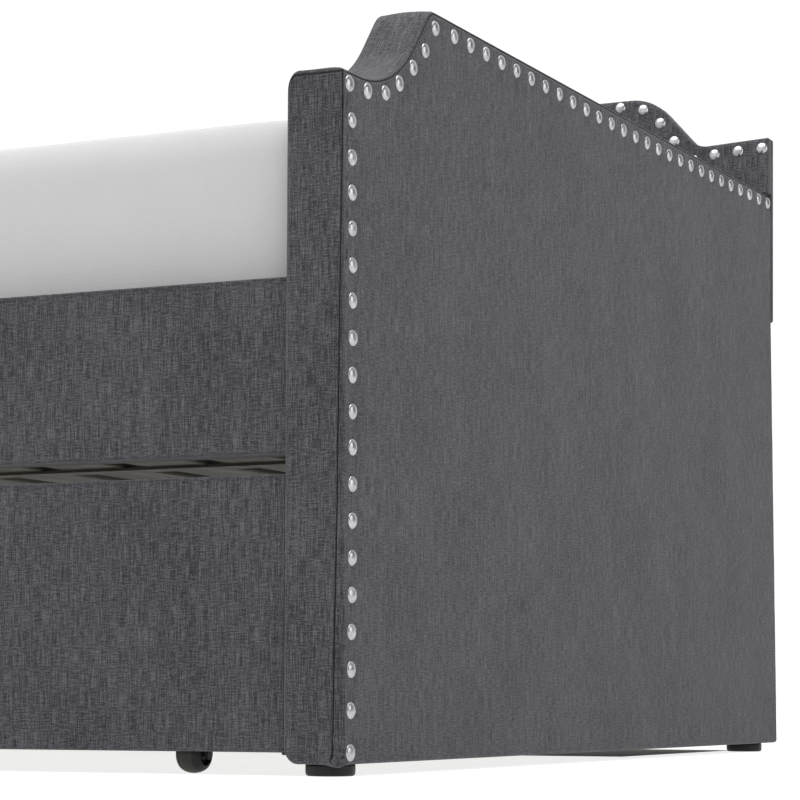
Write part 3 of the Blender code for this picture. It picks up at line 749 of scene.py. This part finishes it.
def build_backrest():
    """The leaning backrest's front and sides, and its nails."""
    low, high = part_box("back_cover")
    arm_low, arm_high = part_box("arm_right_cover")
    half = high.x
    inner = arm_low.x - 0.0004
    ear = arm_high.z + 0.0005
    curve = graded((0.005, 0.07, 0.0065), (0.07, 0.30, 0.0055), (0.30, half, 0.0095))
    notch = half - inner
    curve = curve[np.abs(curve - notch) > 0.003]
    curve = np.sort(np.append(curve, [notch - 0.0003, notch + 0.0003]))
    right = half - curve[:-1]
    columns = np.concatenate([[-half], -right, [0.0], right[::-1], [half]])
    rows = graded((0, 0.60, 0.024), (0.60, 0.90, 0.012), (0.90, 1.0, 0.0065))

    def underside(x):
        return np.where(np.abs(x) > inner, ear, low.z)

    outline = outline_of(columns, rows, underside, lambda x: back_top(x, half, high.z),
                         (0.003, 0.003, 0.0035, 0.0035))
    face = low.y - lean(low.z)
    depth = high.y - lean(high.z) - face
    upward = ring_normals(ring_of(outline))[:, 1].clip(0, 1) ** 2
    points, faces, part = slab_mesh(outline, board_rim(depth, 0.0025 + 0.0045 * upward, 0.0005))
    x, z = points[:, 0], points[:, 1]
    nails = back_nails(half, BACK_NAIL_PITCH)
    edge = soft_min(half - np.abs(x), back_top(x, half, high.z) - z)
    relief = 0.0006 * np.exp(-np.clip(edge - 0.006, 0, 1) / 0.045)
    relief += press_nails(x, z, nails, NAIL_PULL, NAIL_PULL_REACH)
    relief += 0.0005 * ripples(x, z, 0.35, 31) * np.clip(edge / 0.05, 0, 1)
    front = part == 0
    points[front, 2] += relief[front]
    near = (part == 1) & (points[:, 2] < 0.008)
    points[near, 2] += relief[near].clip(0, 0.0012) * (1 - points[near, 2] / 0.008)
    placed = np.stack([x, face + lean(z) + points[:, 2], z], 1)
    back = add_piece("backrest_upholstery", placed, faces, "daybed", LINEN)
    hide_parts("back_cover", "back_frame")
    seats = [(x, face + lean(z) + NAIL_SINK, z) for x, z in nails]
    add_nailheads("backrest_nailheads", seats, (0, -1, BACK_LEAN), "daybed")


def build_rear_panels():
    """The panel behind the backrest, and the cloth below it."""
    low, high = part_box("back_rear_panel")
    half = high.x
    columns = graded((-half, -half + 0.009, 0.009), (-half + 0.009, half - 0.009, 0.009),
                     (half - 0.009, half, 0.009))
    rows = graded((0, 1.0, 0.033))
    outline = outline_of(columns, rows, lambda x: np.full_like(x, low.z),
                         lambda x: back_top(x, half, high.z), (0.004, 0.004, 0.0035, 0.0035))
    face = high.y - lean(high.z)
    depth = face - low.y
    points, faces, part = slab_mesh(outline, board_rim(depth, 0.003, 0.0004), flip=True)
    edge = soft_min(half - np.abs(points[:, 0]), points[:, 1] - low.z,
                    back_top(points[:, 0], half, high.z) - points[:, 1])
    relief = 0.0012 * np.exp(-edge / 0.03) + 0.0005 * ripples(points[:, 0], points[:, 1], 0.3, 41)
    points[part == 0, 2] += np.clip(relief[part == 0], 0, 1)
    placed = np.stack([points[:, 0], face + lean(points[:, 1]) - points[:, 2], points[:, 1]], 1)
    panel = add_piece("rear_panel_upholstery", placed, faces, "daybed", LINEN)
    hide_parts("back_rear_panel")
    build_lower_rear_cloth(low)


def build_lower_rear_cloth(upper_low):
    """The cloth tacked over the backrest's lower rear, between the arms."""
    cover_low, cover_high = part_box("back_cover")
    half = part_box("arm_right_cover")[0].x - 0.004
    bottom, top = cover_low.z + 0.003, upper_low.z - 0.002
    columns = graded((-half, -half + 0.01, 0.01), (-half + 0.01, half - 0.01, 0.012),
                     (half - 0.01, half, 0.01))
    rows = graded((0, 1.0, 0.04))
    outline = outline_of(columns, rows, lambda x: np.full_like(x, bottom),
                         lambda x: np.full_like(x, top), (0.003,) * 4)
    points, faces, part = slab_mesh(outline, board_rim(0.0030, 0.0012, 0.0004), flip=True)
    sag = 0.0006 * ripples(points[:, 0], points[:, 1], 0.20, 43)
    points[part == 0, 2] += np.clip(sag[part == 0], -0.0006, 0.0008)
    face = cover_high.y - lean(cover_high.z) + 0.0034
    placed = np.stack([points[:, 0], face + lean(points[:, 1]) - points[:, 2], points[:, 1]], 1)
    cloth = add_piece("backrest_lower_rear_cloth", placed, faces, "daybed", LINEN)


# ---- wrapped boards ---------------------------------------------------------------------
def build_wrapped_board(name, body, nodes, radii, seed):
    """A long padded board: the front rail or the trundle's front."""
    low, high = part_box(nodes[0])
    half = high.x
    columns = graded((-half, -half + 0.010, 0.010), (-half + 0.010, half - 0.010, 0.0085),
                     (half - 0.010, half, 0.010))
    height = high.z - low.z
    rows = graded((0, 0.02, 0.004), (0.02, height - 0.02, 0.0085), (height - 0.02, height, 0.004))
    outline = outline_of(columns, rows / height, lambda x: np.full_like(x, low.z),
                         lambda x: np.full_like(x, high.z), radii)
    ends = np.abs(ring_of(outline)[:, 0]) > half - 0.003
    points, faces, part = slab_mesh(outline, board_rim(high.y - low.y,
                                                       np.where(ends, 0.0016, 0.0035), 0.002))
    x, z = points[:, 0], points[:, 1]
    edge = soft_min(half - np.abs(x), z - low.z, high.z - z, blur=0.012)
    relief = 0.0016 * np.exp(-edge / 0.03)
    relief += 0.0005 * ripples(x, z, 0.40, seed) * np.clip(edge / 0.04, 0, 1)
    relief += 0.0003 * ripples(x, z * 0.6, 0.09, seed + 1) * np.exp(-edge / 0.02)
    front = part == 0
    points[front, 2] += np.clip(relief[front], 0, 1)
    placed = np.stack([points[:, 0], low.y + points[:, 2], points[:, 1]], 1)
    board = add_piece(name, placed, faces, body, LINEN)
    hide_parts(*nodes)
    return board


def build_cloth_tab():
    """A loose end of cloth that hangs below the trundle front's right corner."""
    low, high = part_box("trundle_front_cover")
    across = np.linspace(0, 1, 9)
    down = np.linspace(0, 1, 9)
    points, faces = [], []
    for layer in (0, 1):
        for s in across:
            for t in down:
                width = 0.0085 * (1 - 0.35 * t)
                x = high.x - 0.0008 - width * (1 - s)
                y = low.y + 0.008 + 0.0012 * math.sin(5 * s + 3 * t) + 0.0011 * layer
                z = low.z + 0.003 - 0.0058 * t - 0.0006 * s * t
                points.append((x, y, z))
    grid = np.arange(81).reshape(9, 9)
    back = grid + 81
    faces += np.stack([grid[:-1, :-1], grid[:-1, 1:], grid[1:, 1:], grid[1:, :-1]], -1
                      ).reshape(-1, 4).tolist()
    faces += np.stack([back[:-1, :-1], back[1:, :-1], back[1:, 1:], back[:-1, 1:]], -1
                      ).reshape(-1, 4).tolist()
    first, second = border_of(grid), border_of(back)
    faces += np.stack([first, second, np.roll(second, -1), np.roll(first, -1)], -1).tolist()
    tab = add_piece("trundle_cloth_tab", points, faces, "trundle", LINEN)
    tidy_mesh(tab)


# ---- mattress ---------------------------------------------------------------------------
def evaluated_mesh(piece):
    graph = bpy.context.evaluated_depsgraph_get()
    return bpy.data.meshes.new_from_object(piece.evaluated_get(graph))


def swap_mesh(piece, mesh):
    piece.modifiers.clear()
    piece.data = mesh


def places_of(mesh):
    flat = np.empty(len(mesh.vertices) * 3)
    mesh.vertices.foreach_get("co", flat)
    return flat.reshape(-1, 3)


def swell(piece, pressure, cap, frames=20):
    """Blow a closed mesh up with Cloth, let no point move more than cap, and keep that."""
    rest = places_of(piece.data)
    cloth = piece.modifiers.new("cloth", "CLOTH")
    cloth.settings.use_pressure = True
    cloth.settings.uniform_pressure_force = pressure
    cloth.settings.effector_weights.gravity = 0
    cloth.settings.tension_stiffness = 15
    cloth.settings.compression_stiffness = 15
    cloth.settings.bending_stiffness = 2.0
    scene = bpy.context.scene
    for number in range(1, frames + 1):
        scene.frame_set(number)
    moved = places_of(evaluated_mesh(piece)) - rest
    length = np.linalg.norm(moved, axis=1, keepdims=True)
    moved *= np.minimum(1.0, cap / np.maximum(length, 1e-9))
    piece.modifiers.clear()
    piece.data.vertices.foreach_set("co", (rest + moved).ravel())
    scene.frame_set(1)


def block_mesh(low, high, rounding):
    work = bmesh.new()
    bmesh.ops.create_cube(work, size=1.0)
    bmesh.ops.scale(work, vec=high - low, verts=work.verts)
    bmesh.ops.translate(work, vec=(low + high) / 2, verts=work.verts)
    bmesh.ops.bevel(work, geom=list(work.edges), offset=rounding, segments=5, profile=0.5,
                    affect="EDGES")
    mesh = bpy.data.meshes.new("block")
    work.to_mesh(mesh)
    work.free()
    return mesh


def build_mattress():
    """A block blown up by Cloth and then fitted to the CAD mattress's box."""
    low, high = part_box("mattress")
    inset = Vector((MATTRESS_SWELL,) * 3) * 0.8
    mesh = block_mesh(low + inset, high - inset, MATTRESS_ROUND)
    piece = bpy.data.objects.new("mattress_pad", mesh)
    bpy.context.collection.objects.link(piece)
    remesh = piece.modifiers.new("remesh", "REMESH")
    remesh.mode = "VOXEL"
    remesh.voxel_size = MATTRESS_VOXEL
    swap_mesh(piece, evaluated_mesh(piece))
    swell(piece, 4.0, MATTRESS_SWELL)
    fine = piece.modifiers.new("fine", "SUBSURF")
    fine.levels = 1
    swap_mesh(piece, evaluated_mesh(piece))
    places = places_of(piece.data)
    least, most = places.min(0), places.max(0)
    places = np.array(low) + (places - least) / (most - least) * np.array(high - low)
    piece.data.vertices.foreach_set("co", places.ravel())
    piece.data.materials.clear()
    piece.data.materials.append(TICKING)
    piece.data.shade_smooth()
    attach(piece, "daybed")
    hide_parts("mattress")


# ---- feet and casters -------------------------------------------------------------------
def build_foot(label):
    """A turned foot with a soft bottom edge and a slightly eased top edge."""
    low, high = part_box(f"foot_{label}")
    radius = (high.x - low.x) / 2
    height = high.z
    profile = [(0.0, 0.0), (0.0, radius - 0.0032), (0.0004, radius - 0.0018),
               (0.0014, radius - 0.0007), (0.0030, radius - 0.0002), (height * 0.45, radius),
               (height * 0.80, radius), (height - 0.0006, radius - 0.0001),
               (height, radius - 0.0009), (height, 0.0)]
    points, faces = lathe(profile, 64)
    center = (low + high) / 2
    placed = np.stack([points[:, 1] + center.x, points[:, 2] + center.y, points[:, 0]], 1)
    foot = add_piece(f"foot_{label}_disc", placed, faces.tolist(), "daybed",
                     BLACK_PLASTIC)
    tidy_mesh(foot)
    foot.data.set_sharp_from_angle(angle=math.radians(50))
    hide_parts(f"foot_{label}")


def build_wheel(label):
    """A crowned two-tone wheel: dark dished sides and a paler tread."""
    node = f"caster_wheel_{label}"
    low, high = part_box(node)
    center = (low + high) / 2
    half = (high.x - low.x) / 2
    radius = (high.z - low.z) / 2
    bore = 0.0034
    hub = [(half * 0.80, bore), (half * 0.80, 0.0064), (half * 0.76, 0.0070),
           (half * 0.62, 0.0074), (half * 0.60, 0.0082), (half * 0.60, 0.0112),
           (half * 0.66, 0.0120), (half * 0.86, 0.0125)]
    crown = [(half * math.sin(a), radius - WHEEL_CROWN * (1 - math.cos(a)))
             for a in np.linspace(math.pi / 2, -math.pi / 2, 19)]
    left = [(-x, r) for x, r in reversed(hub)]
    points, faces = lathe(hub + crown + left + [hub[0]], 64)
    placed = points + np.array(center)
    wheel = add_piece(f"caster_{label}_wheel", placed, faces.tolist(), f"wheel_{label}",
                      BLACK_PLASTIC)
    wheel.data.materials.append(TREAD)
    for face in wheel.data.polygons:
        spread = math.hypot(face.center.y - center.y, face.center.z - center.z)
        near_middle = abs(face.center.x - center.x) < TREAD_HALF_WIDTH
        face.material_index = 1 if near_middle and spread > radius - TREAD_DEPTH else 0
    tidy_mesh(wheel)
    wheel.data.set_sharp_from_angle(angle=math.radians(40))
    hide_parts(node)


# ---- the pieces kept from the CAD model -------------------------------------------------
def dress(node, material):
    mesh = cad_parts[node].data
    mesh.materials.clear()
    mesh.materials.append(material)


def dress_kept_nodes():
    along_bed = ("ledger", "stretcher", "batten", "back_board", "center_beam")
    for name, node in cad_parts.items():
        if node.hide_render:
            continue
        if "fork" in name or "bracket" in name:
            dress(name, BLACK_STEEL)
        # The bed's slats and their tie batten get the wood with painted shade.
        elif name.startswith("bed_slat") or name == "slat_tie_batten":
            dress(name, BED_SLAT_WOOD_PAINTED_SHADE)
        elif "stretcher" in name:
            dress(name, PLYWOOD)
        elif any(word in name for word in along_bed):
            dress(name, BOARD_WOOD)
        else:
            dress(name, SLAT_WOOD)


# ---- camera, floor and light ------------------------------------------------------------
def add_camera():
    data = bpy.data.cameras.new("camera")
    data.lens = CAMERA_LENS
    data.sensor_width = 36.0
    data.clip_end = 100.0
    camera = bpy.data.objects.new("camera", data)
    bpy.context.collection.objects.link(camera)
    camera.location = CAMERA_PLACE
    camera.rotation_mode = "QUATERNION"
    yaw, pitch = math.radians(CAMERA_YAW), math.radians(CAMERA_PITCH)
    ahead = Vector((-math.sin(yaw) * math.cos(pitch), math.cos(yaw) * math.cos(pitch),
                    math.sin(pitch)))
    level = ahead.to_track_quat("-Z", "Y")
    camera.rotation_quaternion = Quaternion(ahead, math.radians(CAMERA_ROLL)) @ level
    bpy.context.scene.camera = camera


def add_area_light(name, place, target, size, power, color=(1.0, 1.0, 1.0)):
    data = bpy.data.lights.new(name, "AREA")
    data.color = color
    data.shape = "RECTANGLE"
    data.size, data.size_y = size
    data.energy = power
    lamp = bpy.data.objects.new(name, data)
    lamp.location = place
    aim = Vector(target) - Vector(place)
    lamp.rotation_mode = "QUATERNION"
    lamp.rotation_quaternion = aim.to_track_quat("-Z", "Y")
    bpy.context.collection.objects.link(lamp)


def add_floor():
    mesh = bpy.data.meshes.new("studio_floor")
    reach = 30.0
    mesh.from_pydata([(-reach, -reach, 0), (reach, -reach, 0), (reach, reach, 0),
                      (-reach, reach, 0)], [], [(0, 1, 2, 3)])
    n = Nodes("pale_floor", roughness=0.95, specular=0.1)
    mottle = n.noise(n.coordinates("Object", (3, 3, 3)), detail=2.0)
    color = n.ramp(mottle, (0.3, (0.34, 0.34, 0.34)), (0.7, (0.36, 0.36, 0.36)))
    n.shader.inputs["Emission Color"].default_value = (1.0, 1.0, 1.0, 1.0)
    split = n.tree.nodes.new("ShaderNodeSeparateXYZ")
    n.link(n.coordinates("Object", (1, 1, 1)), split, 0)
    from_middle = n.math("ABSOLUTE", n.math("SUBTRACT", split.outputs["Y"], DARK_FLOOR_MIDDLE_Y))
    within = n.math("LESS_THAN", n.math("ABSOLUTE", split.outputs["X"]),
                    DARK_FLOOR_HALF_LENGTH)
    behind = n.math("MULTIPLY", n.math("LESS_THAN", from_middle, DARK_FLOOR_HALF_DEPTH), within)
    n.link(n.remap(behind, 0.0, 1.0, FLOOR_GLOW, 0.0), n.shader, "Emission Strength")
    mesh.materials.append(n.finish(color))
    floor = bpy.data.objects.new("studio_floor", mesh)
    bpy.context.collection.objects.link(floor)


def add_world():
    world = bpy.data.worlds.new("studio")
    world.use_nodes = True
    background = world.node_tree.nodes["Background"]
    background.inputs["Color"].default_value = (1.0, 1.0, 1.0, 1.0)
    nodes, links = world.node_tree.nodes, world.node_tree.links
    split = nodes.new("ShaderNodeSeparateXYZ")
    links.new(nodes.new("ShaderNodeTexCoord").outputs["Generated"], split.inputs[0])
    darker = nodes.new("ShaderNodeMapRange")
    fade = (("From Min", 0.15), ("From Max", 0.75), ("To Min", WORLD_STRENGTH),
            ("To Max", WORLD_RIGHT_STRENGTH))
    for socket, number in fade:
        darker.inputs[socket].default_value = number
    links.new(split.outputs["X"], darker.inputs["Value"])
    links.new(darker.outputs[0], background.inputs["Strength"])
    bpy.context.scene.world = world


def build_stage():
    add_camera()
    add_floor()
    add_world()
    add_area_light("overhead", (0.2, -1.2, 4.0), (0, 0, 0.2), (4.5, 3.5), 150.0)
    add_area_light("right_fill", (4.6, -0.4, 1.6), (0.5, 0.0, 0.4), (3.0, 2.4), 45.0,
                   (0.93, 0.93, 1.0))
    bpy.context.scene.view_settings.view_transform = "Standard"


build_stage()
build_arm("right", 1)
build_arm("left", -1)
build_backrest()
build_rear_panels()
build_wrapped_board("front_rail_upholstery", "daybed", ("front_rail_cover", "front_rail_board"),
                    (0.004, 0.004, 0.004, 0.004), 51)
build_wrapped_board("trundle_front_upholstery", "trundle",
                    ("trundle_front_cover", "trundle_front_board"),
                    (0.006, 0.006, 0.006, 0.006), 61)
build_cloth_tab()
build_mattress()
for place in ("left_front", "left_rear", "right_front", "right_rear"):
    build_foot(place)
for place in ("front_left", "front_right", "rear_left", "rear_right"):
    build_wheel(place)
dress_kept_nodes()
